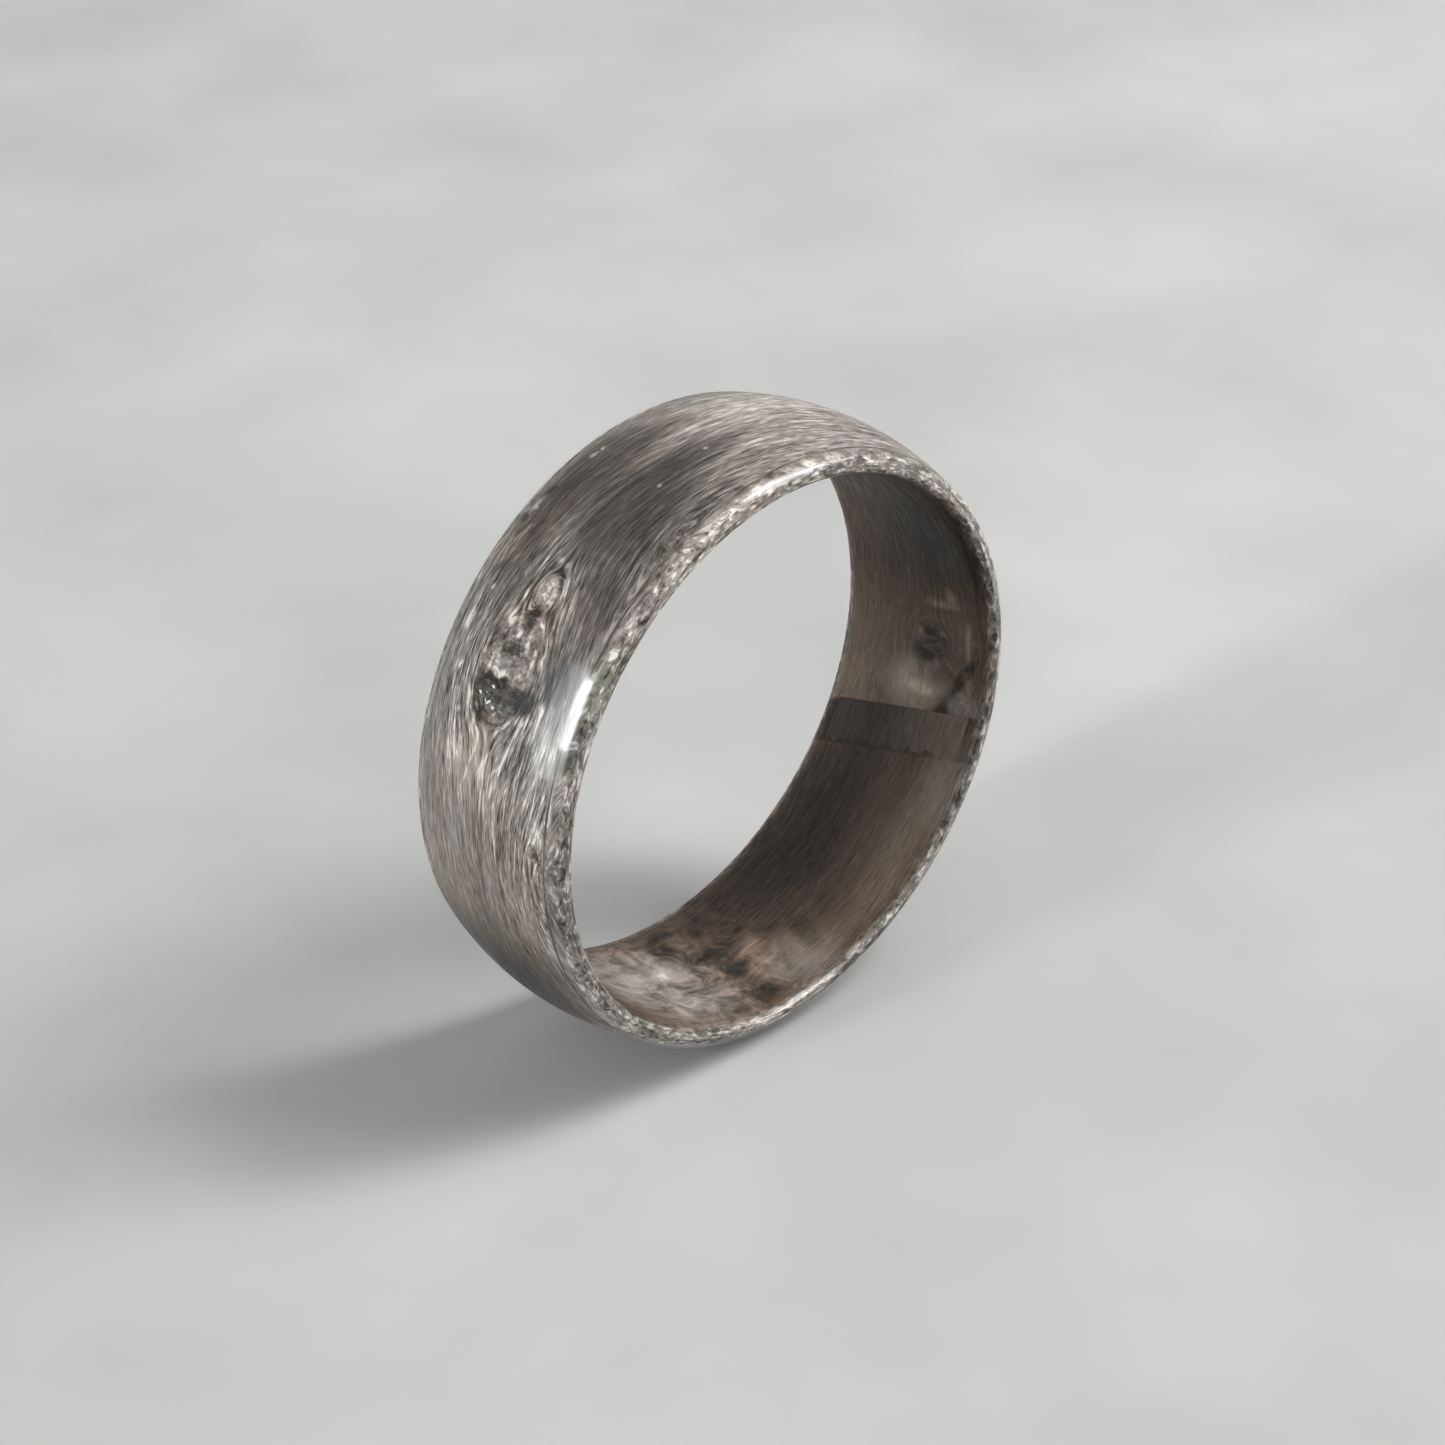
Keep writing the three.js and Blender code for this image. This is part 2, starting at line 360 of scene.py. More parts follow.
# Small marks: angle, y, half length and half width (mm), how far their +angle end leans to +Y
# (degrees), and how much lighter they are.
OUTER_MARKS = [
    # the pale eye, the strands that frame it, and the hollow behind it
    (133.8, -0.20, 0.52, 0.38, -12, 0.27),
    (131.8, -0.60, 0.45, 0.06, -24, 0.34),
    (131.6, -0.42, 0.40, 0.05, -24, -0.24),
    (134.8, 0.36, 0.55, 0.10, -6, -0.22),
    (128.3, 0.15, 0.13, 0.12, 0, 0.30),
    (128.4, -0.22, 0.14, 0.10, 0, 0.26),
    (130.5, 0.66, 0.80, 0.05, 3, 0.16),
    (125.0, 0.45, 1.20, 0.06, 7, 0.16),
    (137.6, 0.44, 0.55, 0.07, -24, 0.32),
    (140.2, 0.60, 0.30, 0.17, -15, 0.40),
    (133.6, -1.16, 0.60, 0.06, -15, 0.24),
    (139.0, -0.10, 0.45, 0.22, -10, -0.24),
    (139.1, -0.57, 0.06, 0.10, 0, 0.40),
    # the rim of the small pit
    (141.7, 0.05, 0.20, 0.15, 30, 0.28),
    (142.7, -0.43, 0.36, 0.06, -16, 0.34),
    (142.8, 0.58, 0.30, 0.07, 15, -0.26),
    (148.1, 0.68, 0.32, 0.09, 5, 0.42),
    (149.0, 0.20, 0.13, 0.42, 0, 0.42),
    (147.2, 0.45, 0.20, 0.12, -30, 0.30),
    (148.6, -0.60, 0.36, 0.34, 0, 0.06),
    (143.7, -0.85, 0.13, 0.07, -15, 0.42),
    (146.0, -0.87, 0.27, 0.06, -5, 0.38),
    (144.6, -1.15, 0.22, 0.12, -20, 0.26),
    # the charcoal knot, its tail, and the pale clumps round it
    (152.3, 0.10, 0.60, 1.05, 0, -0.30),
    (151.0, 0.60, 0.45, 0.42, -20, -0.14),
    (152.0, -1.15, 0.55, 0.48, 25, -0.34),
    (155.6, 0.55, 0.45, 0.42, -15, -0.16),
    (147.5, -1.75, 0.55, 0.15, -5, -0.20),
    (146.5, -2.22, 0.65, 0.10, -5, -0.18),
    (154.4, -1.12, 0.24, 0.13, 25, 0.40),
    (154.0, -1.42, 0.28, 0.10, 10, 0.34),
    (151.9, -1.85, 0.24, 0.11, -10, 0.38),
    (157.6, -0.50, 0.34, 0.07, 32, 0.38),
    (155.0, 1.17, 0.62, 0.09, -20, 0.34),
    (158.7, 0.60, 0.24, 0.06, -10, 0.38),
    (157.8, 1.50, 0.13, 0.10, 30, 0.32),
    # strands that fan out behind it, and close over the swelling on the near edge
    (161.0, 0.30, 0.60, 0.05, 2, 0.30),
    (162.5, -0.30, 0.80, 0.05, 22, 0.28),
    (163.0, -0.85, 0.95, 0.05, 27, 0.24),
    (165.5, -1.40, 0.90, 0.05, 25, 0.20),
    (167.0, 0.48, 0.70, 0.05, 12, 0.26),
    (176.0, -1.00, 1.00, 0.05, -2, 0.24),
    (185.0, -1.30, 1.00, 0.05, -15, 0.18),
    (176.5, -2.58, 0.30, 0.12, -15, -0.26),
    (190.0, -2.90, 0.60, 0.18, -5, -0.22),
    # towards the far edge
    (143.2, 2.50, 0.42, 0.14, 12, 0.30),
    (140.6, 2.30, 0.36, 0.08, 10, -0.22),
    (137.0, 2.15, 0.13, 0.10, 30, 0.32),
    (151.2, 2.05, 0.22, 0.11, 20, 0.28),
    (156.5, 2.30, 0.55, 0.16, 0, -0.16),
    (121.0, 2.75, 0.34, 0.18, 0, 0.32),
    (117.3, 2.65, 0.15, 0.15, 0, -0.30),
    (124.0, 2.85, 0.20, 0.18, 0, -0.30),
    (105.8, 2.35, 0.26, 0.05, -25, 0.36),
    (107.5, 2.46, 0.12, 0.12, 45, 0.36),
    # specks and nicks on the dark stretch and along the near edge
    (97.0, -0.70, 0.06, 0.06, 0, 0.60),
    (109.0, -0.80, 0.05, 0.06, 0, 0.50),
    (94.5, -2.95, 0.13, 0.13, 0, -0.34),
    (63.5, -3.00, 0.45, 0.09, 0, -0.34),
    (116.5, -2.90, 0.28, 0.12, -5, -0.24),
]
BORE_MARKS = [
    # the mottled stretch at the bottom
    (256, 0.5, 0.80, 0.85, 40, 0.10),
    (277, -0.2, 0.85, 0.50, 30, 0.12),
    (274, -1.5, 0.65, 0.60, 30, 0.12),
    (263, 1.7, 1.00, 0.55, 30, -0.10),
    (267, 0.1, 0.80, 0.60, 40, -0.10),
    (287, -1.4, 0.45, 0.95, -20, -0.10),
    (269, -2.3, 0.75, 0.50, 20, -0.10),
    # the knot above the lap, and the hollows at the near end of the lap
    (356.0, -0.60, 0.80, 0.46, -25, -0.30),
    (361.5, -0.90, 0.50, 0.50, 0, 0.06),
    (366.5, -1.20, 0.20, 0.80, 12, 0.20),
    (369.5, -1.60, 0.35, 0.30, -40, 0.16),
    (345.5, -0.60, 0.40, 0.60, 10, 0.18),
    (342.5, -1.60, 0.45, 0.26, -20, -0.30),
    (352.0, -2.30, 0.95, 0.20, -28, -0.26),
    (360.0, -2.40, 0.80, 0.20, 0, 0.14),
]
# Where the figure is livelier than elsewhere, on the outside: as the tones, but across is y.
LIVELY = [
    (161, -0.2, 8, 1.8, 0.45),
    (143, 2.0, 14, 1.0, 0.4),
    (166, -2.4, 8, 1.0, 0.2),
    (192, -0.8, 17, 3.2, -0.40),
    (129, -2.2, 9, 1.2, -0.40),
]


# The filled knots, with each patch's half sizes round and across; a dent makes it a crescent.
PLUGS = [
    {"name": "knot_filler_large", "node": "knot_fill_large", "facing": 1, "angle": 152.5, "y": 0.05,
     "size": (0.60, 1.0), "dent": 0.55, "seed": 1},
    {"name": "knot_filler_small", "node": "knot_fill_small", "facing": 1, "angle": 144.8, "y": 0.1,
     "size": (0.30, 0.42), "dent": 0.1, "seed": 2},
    {"name": "knot_filler_bore", "node": "knot_fill_bore", "facing": -1, "angle": 355.8, "y": -0.75,
     "size": (0.44, 0.52), "dent": 0.1, "seed": 3},
]
# Pale specks on the charcoal filler, as small marks: partly painted glints, where the filler sparkles.
FLECKS = [
    (151.2, 0.22, 0.04, 0.07, 0, 0.9),
    (153.3, 0.70, 0.04, 0.08, 10, 1.0),
    (154.3, 0.22, 0.05, 0.12, -20, 1.1),
    (154.1, 0.42, 0.03, 0.06, 40, 1.0),
    (154.6, -0.05, 0.04, 0.07, 30, 1.0),
    (155.0, -0.38, 0.03, 0.08, 0, 0.9),
    (152.6, 0.45, 0.03, 0.04, 0, 0.7),
    (144.3, 0.30, 0.12, 0.10, 0, 0.30),
    (145.8, -0.15, 0.12, 0.14, 0, 0.35),
]


def from_place(angle, y, spot_angle, spot_y):
    """Distances round and across, in mm, from a spot on the surface."""
    round_by = (angle - spot_angle + 180) % 360 - 180
    return np.radians(round_by) * WOOD_CROWN, y - spot_y


def grain_flow(angle, y, knots, weight):
    """How far the knots push the grain along and across, as water flows round stones, how close each
    point is to a knot, and how deep inside one. Inside a knot the grain turns into rings."""
    heart = np.zeros_like(y)
    along = np.zeros_like(y)
    across = np.zeros_like(y)
    near = np.zeros_like(y)
    for knot_angle, knot_y, reach, drawn_out in knots:
        dx, dy = from_place(angle, y, knot_angle, knot_y)
        dx = dx / drawn_out
        distance = np.hypot(dx, dy)
        outside = np.maximum(distance, reach)
        fade = weight * np.exp(-(np.maximum(distance - 2 * reach, 0) / 3) ** 2)
        across -= fade * (reach / outside) ** 2 * dy
        along += fade * drawn_out * (reach / outside) ** 2 * dx
        across += weight * np.maximum(reach - distance, 0)
        near = np.maximum(near, fade * np.exp(-(np.maximum(distance - reach, 0) / 0.9) ** 2))
        heart = np.maximum(heart, weight * smoothstep(-distance, -1.05 * reach, -0.85 * reach))
    return along, across, near, heart


def grain_rise(angle):
    """How far to +Y the grain has wandered at an angle, over the knots and back again."""
    return RISE * np.exp(-(((angle - RISE_AT + 180) % 360 - 180) / RISE_REACH) ** 2)


def tone_of(angle, y, tones):
    """The broad patches of a list, added up."""
    total = np.zeros_like(y)
    for spot_angle, spot_y, reach_round, reach_across, lift in tones:
        dx, dy = from_place(angle, y, spot_angle, spot_y)
        dx = dx / (math.radians(reach_round) * WOOD_CROWN)
        total += lift * np.exp(-(dx ** 2 + (dy / reach_across) ** 2) ** 1.5)
    return total


def marks_of(angle, y, marks):
    """The small marks, with ragged edges."""
    along = np.radians(angle) * WOOD_CROWN
    angle = angle + 0.45 * streaks((along, y), 0.35, 0.16, seed=21)
    y = y + 0.05 * streaks((along, y), 0.3, 0.2, seed=22)
    total = np.zeros_like(y)
    for spot_angle, spot_y, length, width, lean, lift in marks:
        dx, dy = from_place(angle, y, spot_angle, spot_y)
        lean = math.radians(lean)
        ahead = dx * math.cos(lean) + dy * math.sin(lean)
        aside = dy * math.cos(lean) - dx * math.sin(lean)
        total += lift * np.exp(-((ahead / length) ** 2 + (aside / width) ** 2) ** 2)
    return total


def wood_outline():
    """The wood's section, and how far each of its points lies across the strip."""
    flat = flat_radius(OUTER_COAT, SIDE_COAT)
    near, dome, far = dome_stretch(OUTER_COAT, SIDE_COAT, dome_count=96, corner_count=9)
    far_edge, bore, near_edge = bore_stretch(
        BORE_COAT, SIDE_COAT, bore_count=38, edge_count=8)
    far_flat = line((flat, WOOD_HALF), (EDGE_RADIUS, WOOD_HALF), 3)
    near_flat = line((EDGE_RADIUS, -WOOD_HALF), (flat, -WOOD_HALF), 3)
    outline = np.concatenate([near, dome, far, far_flat, far_edge, bore, near_edge, near_flat])
    outer_count = len(near) + len(dome) + len(far)
    step = np.linalg.norm(np.diff(outline, axis=0, append=outline[:1]), axis=1)
    girth = np.concatenate([[0], np.cumsum(step)[:-1]])
    outer_middle = girth[outer_count] / 2
    bore_middle = (girth[outer_count] + girth[-1] + step[-1]) / 2
    outer_side = np.arange(len(outline)) <= outer_count
    return outline, np.where(outer_side, girth - outer_middle, bore_middle - girth)


def half_width_at(radius):
    """How far from the middle plane the wood reaches at a given radius."""
    outline, _ = wood_outline()
    side = outline[outline[:, 1] > 0]
    side = side[np.argsort(side[:, 0])]
    return np.interp(radius, side[:, 0], side[:, 1])


def wood_columns():
    """Angles past the strip's inner end for the mesh's columns, closest together over the knots."""
    along = np.linspace(-WEDGE, 360 - WEDGE, 3601)
    off = (along + START - DENSE_AT + 180) % 360 - 180
    share = np.cumsum(1 + DENSE_GAIN * np.exp(-(off / DENSE_REACH) ** 2))
    share = (share - share[0]) / (share[-1] - share[0])
    return np.interp(np.linspace(0, 1, AROUND + 1), share, along)


def wood_grid():
    """The wood's surface as a grid, columns round the band by points round its section: how far
    past the strip's inner end, radius, y, how far across the strip, and which way is out."""
    outline, across = wood_outline()
    wrapped = np.arange(len(outline) + 1) % len(outline)
    along, radius = np.meshgrid(wood_columns(), outline[wrapped, 0], indexing="ij")
    y = np.broadcast_to(outline[wrapped, 1], along.shape).copy()
    return along, radius, y, np.broadcast_to(across[wrapped], along.shape), outward(outline)[wrapped]


def wood_sides(radius):
    """How far each point belongs to the outside, the finger hole and the side faces."""
    outer = smoothstep(radius, OUTSIDE_FROM, OUTSIDE_FULL)
    bore = 1 - smoothstep(radius, WOOD_BORE + BORE_FULL, WOOD_BORE + BORE_GONE)
    return outer, bore, np.clip(1 - outer - bore, 0, 1)


def wood_flow(angle, y, across, outer, bore):
    """Where each point lies along and across the bent grain, how close it is to a knot, and how
    deep inside a knot or a cloudy stretch."""
    out_along, out_across, out_near, out_heart = grain_flow(angle, y, OUTER_KNOTS, outer)
    in_along, in_across, in_near, in_heart = grain_flow(angle, y, BORE_KNOTS, bore)
    flow_along = np.radians(angle) * WOOD_CROWN + out_along + in_along
    flow_across = across + out_across + in_across - outer * grain_rise(angle)
    flow_across += 0.06 * np.sin(np.radians(angle) * 8 + y)
    near = np.maximum(out_near, in_near) + outer * tone_of(angle, y, LIVELY)
    heart = np.maximum(np.maximum(out_heart, in_heart), bore * tone_of(angle, y, BORE_CLOUDS))
    return (flow_along, flow_across), near, heart


def wood_relief(angle, y, flow, near, heart, marks, sides):
    """How far the wood lies under its smooth surface: fine grooves along the grain, sunken marks,
    and the hollows that the knots' fillers sit in."""
    outer, bore, side = sides
    groove = 0.5 + 0.5 * streaks(flow, 1.6, 0.16, seed=3)
    fibre = 0.5 + 0.5 * streaks(flow, 0.7, 0.09, seed=4)
    relief = 0.004 * fibre + (0.004 + 0.010 * near) * groove ** 2
    relief *= (1 - 0.6 * side) * (1 - 0.9 * heart)
    relief -= MARK_DEPTH * np.clip(marks, -1, 0)
    for plug in PLUGS:
        base = outer if plug["facing"] > 0 else bore
        dx, dy = from_place(angle, y, plug["angle"], plug["y"])
        reach = np.hypot(dx / plug["size"][0], dy / plug["size"][1])
        relief = np.maximum(relief, base * PIT_DEPTH * smoothstep(-reach, -0.85, -0.6))
    return relief


def clear_of_fills(radius, along):
    """The radius, kept off the two thin wedges at the strip's ends that the fills take up."""
    step = PITCH * climb(along)
    radius = np.where(along < 0, np.maximum(radius, WOOD_BORE + step), radius)
    roof = WOOD_BORE + (TURNS - 1) * PITCH + step
    past_end = (along > LAST_CUT) & (along < TAPER)
    return np.where(past_end, np.minimum(radius, roof), radius)


def wood_shades(angle, y, along, outer, bore):
    """How much lighter, and how much warmer, the wood is at each point, painted shade and painted
    reflection included.
    """
    rise = grain_rise(angle)
    tone = outer * tone_of(angle, y - rise, OUTER_TONES)
    tone += bore * (BORE_PAINTED_SHADE + tone_of(angle, y, BORE_TONES))
    # the strip is paler at its inner end, and the turn that climbs over that end is darker
    lap = np.where(along > 0, 0.14 * np.exp(-(along / 8) ** 2), -0.12 * np.exp(-(along / 14) ** 2))
    tone += bore * lap
    warmth = outer * tone_of(angle, y - rise, OUTER_WARMTH) + bore * tone_of(angle, y, BORE_WARMTH)
    return tone, warmth


def make_wood():
    """The wound strip's visible surface as one closed body, with its relief and what its material
    has to know about each point."""
    along, radius, y, across, out = wood_grid()
    angle = angle_at(along, y)
    outer, bore, side = wood_sides(radius)
    flow, near, heart = wood_flow(angle, y, across, outer, bore)
    marks = outer * marks_of(angle, y, OUTER_MARKS) + bore * marks_of(angle, y, BORE_MARKS)
    relief = wood_relief(angle, y, flow, near, heart, marks, (outer, bore, side))
    body_radius = clear_of_fills(radius - relief * out[:, 0], along)
    points = place(body_radius, y - relief * out[:, 1], angle)

    faces, corner_i, corner_j = torus_faces(AROUND, len(out) - 1)
    wood = mesh_piece("veneer_strip_wood", points[:-1, :-1], faces)
    turn = turn_number(body_radius, along) + np.where(bore > 0.5, 0.02, -0.02)
    tone, warmth = wood_shades(angle, y, along, outer, bore)
    layers = {
        "grain": np.stack([flow[0], flow[1], turn], -1),
        "look": np.stack([tone, near, warmth], -1),
        "parts": np.stack([MARK_GAIN * marks, bore, side], -1),
        "knots": np.stack([heart, 0 * heart, 0 * heart], -1),
    }
    for name, values in layers.items():
        set_vectors(wood.data, name, "CORNER", values[corner_i, corner_j])
    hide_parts("veneer_strip")
    return wood


# ---------------------------------------------------------------- glue and fills

def make_glue():
    """The spiral film between the turns. Its two edges show as thin lines on the side faces."""
    count = round(AROUND * (TURNS - 1 + LAST_CUT / 360))
    along = np.arange(count + 1) * 360 / AROUND
    turn = np.floor((along + WEDGE) / 360)
    middle = WOOD_BORE + PITCH * (turn + climb((along + WEDGE) % 360 - WEDGE)) - GLUE / 2
    middle = np.maximum(middle, WOOD_BORE + GLUE)
    columns = []
    for lift in (GLUE / 2, -GLUE / 2):
        reach = half_width_at(middle + lift) + PROUD
        columns.append((middle + lift, reach))
    top, low = columns
    shares = np.linspace(-1, 1, 9)

    def sheet(radius, reach):
        y = reach[:, None] * shares
        return place(radius[:, None], y, angle_at(along[:, None], y))

    points = np.concatenate([sheet(*low).reshape(-1, 3), sheet(*top).reshape(-1, 3)])
    film = mesh_piece("glue_film_spiral", points, slab_faces(len(along), len(shares)))
    set_grain(film, angle_at(along[:, None], 0 * shares), top[1][:, None] * shares, middle[:, None])
    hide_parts("glue_film")
    return film


def make_inner_fill():
    """The thin wedge of filler in the finger hole, under the turn that climbs over the strip's end."""
    along = np.linspace(-0.9 * WEDGE, 0, 40)
    reach = half_width_at(WOOD_BORE + 0.02)
    y = np.linspace(-reach, reach, 60)
    along, y = np.meshgrid(along, y, indexing="ij")
    ragged = 0.6 * np.sin(7 * y) + 0.5 * np.sin(17 * y + 1)
    along = along + ragged * (along / WEDGE) ** 2
    angle = angle_at(along, y)
    floor = WOOD_BORE + PITCH * climb(along) + 0.01
    face = WOOD_BORE - PROUD * (1 - (along / WEDGE) ** 8) + 0.0 * y
    points = np.concatenate([place(face, y, angle).reshape(-1, 3), place(floor, y, angle).reshape(-1, 3)])
    fill = mesh_piece("inner_end_filler", points, slab_faces(*along.shape))
    set_grain(fill, angle, y, 0.0)
    # lighter towards the near edge at -Y: painted light, matching the painted reflection on the wood
    # beside it
    set_look(fill, 0.0, 0.0, 0.04 + 0.60 * smoothstep(-y, -1.4, 2.6))
    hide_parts("inner_end_fill")
    return fill


def make_outer_fill():
    """The lens of filler over the crown, past the strip's outer end."""
    dome = DOME_RADIUS - OUTER_COAT
    share = np.linspace(-1, 1, 40)
    along = np.linspace(LAST_CUT, TAPER, 40)
    floor = WOOD_BORE + (TURNS - 1) * PITCH + PITCH * climb(along)
    depth = np.maximum(WOOD_CROWN - floor, 0.004)
    reach = np.sqrt(2 * dome * depth)
    along, share = np.meshgrid(along, share, indexing="ij")
    y = reach[:, None] * share
    angle = angle_at(along, y)
    face = DOME_CENTRE + np.sqrt(dome ** 2 - y ** 2) + PROUD
    under = floor[:, None] - 0.01 + 0.0 * y
    points = np.concatenate([place(under, y, angle).reshape(-1, 3), place(face, y, angle).reshape(-1, 3)])
    fill = mesh_piece("outer_end_filler", points, slab_faces(*along.shape))
    set_grain(fill, angle, y, 0.0)
    set_look(fill, 0.0, 0.0, 0.45 + 0.45 * smoothstep(np.abs(share) + along / TAPER, 0.6, 1.6))
    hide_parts("outer_end_fill")
    return fill


def make_plug(plug):
    """A knot's filler: an uneven, slightly dished patch, set into the wood."""
    side = np.linspace(-1, 1, 49)
    u, v = np.meshgrid(side, side, indexing="ij")
    u, v = u * np.sqrt(1 - v ** 2 / 2), v * np.sqrt(1 - u ** 2 / 2)
    share = np.hypot(u, v)
    spoke = np.arctan2(v, u)
    rim = 0.94 + 0.06 * np.sin(5 * spoke + plug["seed"]) + 0.05 * np.sin(11 * spoke + 2 * plug["seed"])
    rim += 0.04 * np.sin(23 * spoke + 3 * plug["seed"])
    rim -= plug["dent"] * np.exp(-((np.abs(spoke) - math.pi) / 0.9) ** 2)
    dx = u * rim * plug["size"][0]
    dy = v * rim * plug["size"][1]
    y = plug["y"] + dy
    angle = plug["angle"] + np.degrees(dx / WOOD_CROWN)
    uneven = 0.006 * value_noise(dx / 0.14 + 50, dy / 0.2 + 50, plug["seed"], 100)
    sunk = 0.010 * (1 - share ** 2) + uneven * (1 - share) - PROUD
    if plug["facing"] > 0:
        face = DOME_CENTRE + np.sqrt((DOME_RADIUS - OUTER_COAT) ** 2 - y ** 2)
        layers = (face - PLUG_DEPTH * (1 - 0.8 * share ** 2), face - sunk)
    else:
        layers = (WOOD_BORE + sunk, WOOD_BORE + PLUG_DEPTH * (1 - 0.8 * share ** 2))
    points = np.concatenate([place(radius, y, angle).reshape(-1, 3) for radius in layers])
    patch = mesh_piece(plug["name"], points, slab_faces(*u.shape))
    set_grain(patch, angle, y, 0.0)
    towards = 0.5 + 0.5 * dx / plug["size"][0] if plug["facing"] > 0 else 0.0
    set_look(patch, marks_of(angle, y, FLECKS), towards, 0.0)
    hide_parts(plug["node"])
    return patch


# ---------------------------------------------------------------- the clear coats

def make_coat(name, node, finished, bonded):
    """A clear shell: its finished side, polished by hand and so very slightly wavy, and the side
    bonded to the wood. The two sides are separate slots of the material."""
    outline = np.concatenate([finished, bonded])
    normal = outward(outline)
    angle = np.arange(COAT_AROUND)[:, None] * 360 / COAT_AROUND
    turn = np.radians(angle)
    y = outline[:, 1] + 0 * angle
    wave = np.sin(9 * turn + 1.3 * y) + 0.6 * np.sin(23 * turn - 0.9 * y + 2)
    depth = COAT_WAVER * (0.5 + 0.3 * wave) * (np.arange(len(outline)) < len(finished))
    radius = outline[:, 0] - depth * normal[:, 0]
    y = y - depth * normal[:, 1]
    faces, _, corner_j = torus_faces(COAT_AROUND, len(outline))
    coat = mesh_piece(name, place(radius, y, angle), faces)
    on_bond = (corner_j.min(axis=1) >= len(finished) - 1).astype(np.int32)
    coat.data.materials.append(None)
    coat.data.materials.append(None)
    coat.data.polygons.foreach_set("material_index", on_bond)
    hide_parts(node)
    return coat


def make_outer_coat():
    flat = flat_radius(0, 0)
    near_flat = line((EDGE_RADIUS, -HALF_WIDTH), (flat, -HALF_WIDTH), 6)
    far_flat = line((flat, HALF_WIDTH), (EDGE_RADIUS, HALF_WIDTH), 6)
    last = np.array([[EDGE_RADIUS, HALF_WIDTH]])
    dome = dome_stretch(0, 0, dome_count=60, corner_count=12)
    finished = np.concatenate([near_flat, *dome, far_flat, last])
    wood = np.concatenate(dome_stretch(OUTER_COAT, SIDE_COAT, dome_count=40, corner_count=6))[::-1]
    bonded = np.concatenate([[[EDGE_RADIUS, WOOD_HALF]], wood, [[EDGE_RADIUS, -WOOD_HALF]]])
    return make_coat("outer_coat_clear", "outer_coat", finished, bonded)


def make_bore_coat():
    last = np.array([[EDGE_RADIUS, -HALF_WIDTH]])
    finished = np.concatenate([*bore_stretch(0, 0, bore_count=30, edge_count=14), last])
    wood = np.concatenate(bore_stretch(BORE_COAT, SIDE_COAT, bore_count=30, edge_count=8))[::-1]
    bonded = np.concatenate([[[EDGE_RADIUS, -WOOD_HALF]], wood])
    return make_coat("bore_coat_clear", "bore_coat", finished, bonded)


# ---------------------------------------------------------------- materials

def colour(red, green, blue):
    """A colour given as 0 to 255 on screen, as Blender's linear RGBA."""
    channels = [value / 255 for value in (red, green, blue)]
    return [c / 12.92 if c <= 0.04045 else ((c + 0.055) / 1.055) ** 2.4 for c in channels] + [1]


class Graph:
    """A material's node tree, with one short call for each kind of node that is used here."""

    def __init__(self, name):
        self.material = bpy.data.materials.new(name)
        self.material.use_nodes = True
        self.tree = self.material.node_tree
        self.tree.nodes.clear()
        self.output = self.tree.nodes.new("ShaderNodeOutputMaterial")

    def put(self, value, socket):
        if isinstance(value, bpy.types.NodeSocket):
            self.tree.links.new(value, socket)
        elif value is not None:
            socket.default_value = value

    def node(self, kind, inputs=None, **settings):
        made = self.tree.nodes.new("ShaderNode" + kind)
        for name, value in settings.items():
            setattr(made, name, value)
        for name, value in (inputs or {}).items():
            self.put(value, made.inputs[name])
        return made

    def math(self, operation, first, second=None, third=None):
        made = self.node("Math", operation=operation)
        for index, value in enumerate((first, second, third)):
            self.put(value, made.inputs[index])
        return made.outputs[0]

    def add(self, *values):
        total = values[0]
        for value in values[1:]:
            total = self.math("ADD", total, value)
        return total

    def sway(self, value, gain):
        """A 0 to 1 value as a swing of plus or minus half the gain."""
        return self.math("MULTIPLY", self.math("SUBTRACT", value, 0.5), gain)

    def attribute(self, name):
        return self.node("Attribute", attribute_name=name).outputs["Vector"]

    def split(self, vector):
        made = self.node("SeparateXYZ", {"Vector": vector})
        return made.outputs[0], made.outputs[1], made.outputs[2]

    def join(self, x, y, z):
        return self.node("CombineXYZ", {"X": x, "Y": y, "Z": z}).outputs[0]

    def noise(self, vector, scale=1.0, detail=2.0, roughness=0.5, distortion=0.0):
        made = self.node("TexNoise", {
            "Vector": vector, "Scale": scale, "Detail": detail,
            "Roughness": roughness, "Distortion": distortion,
        })
        return made.outputs["Fac"]

    def spread(self, value, low, high, to_low=0.0, to_high=1.0):
        """value moved from the range low to high to another range, with soft ends."""
        made = self.node("MapRange", {
            "Value": value, "From Min": low, "From Max": high, "To Min": to_low, "To Max": to_high,
        }, interpolation_type="SMOOTHSTEP")
        return made.outputs[0]

    def ramp(self, value, *stops):
        made = self.node("ValToRGB", {"Fac": value})
        elements = made.color_ramp.elements
        for place_at, shade in stops[2:]:
            elements.new(place_at)
        for element, (place_at, shade) in zip(elements, stops):
            element.position = place_at
            element.color = shade
        return made.outputs[0]

    def mix(self, share, first, second, blend="MIX"):
        made = self.node("Mix", data_type="RGBA", blend_type=blend, clamp_factor=True)
        for index, value in ((0, share), (6, first), (7, second)):
            self.put(value, made.inputs[index])
        return made.outputs[2]

    def blend(self, share, first, second):
        """A number between two numbers."""
        made = self.node("Mix", data_type="FLOAT", clamp_factor=True)
        for index, value in ((0, share), (2, first), (3, second)):
            self.put(value, made.inputs[index])
        return made.outputs[0]

    def bump(self, height, distance, strength):
        made = self.node("Bump", {"Height": height, "Distance": distance, "Strength": strength})
        return made.outputs[0]

    def finish(self, shader):
        self.tree.links.new(shader, self.output.inputs["Surface"])
        return self.material


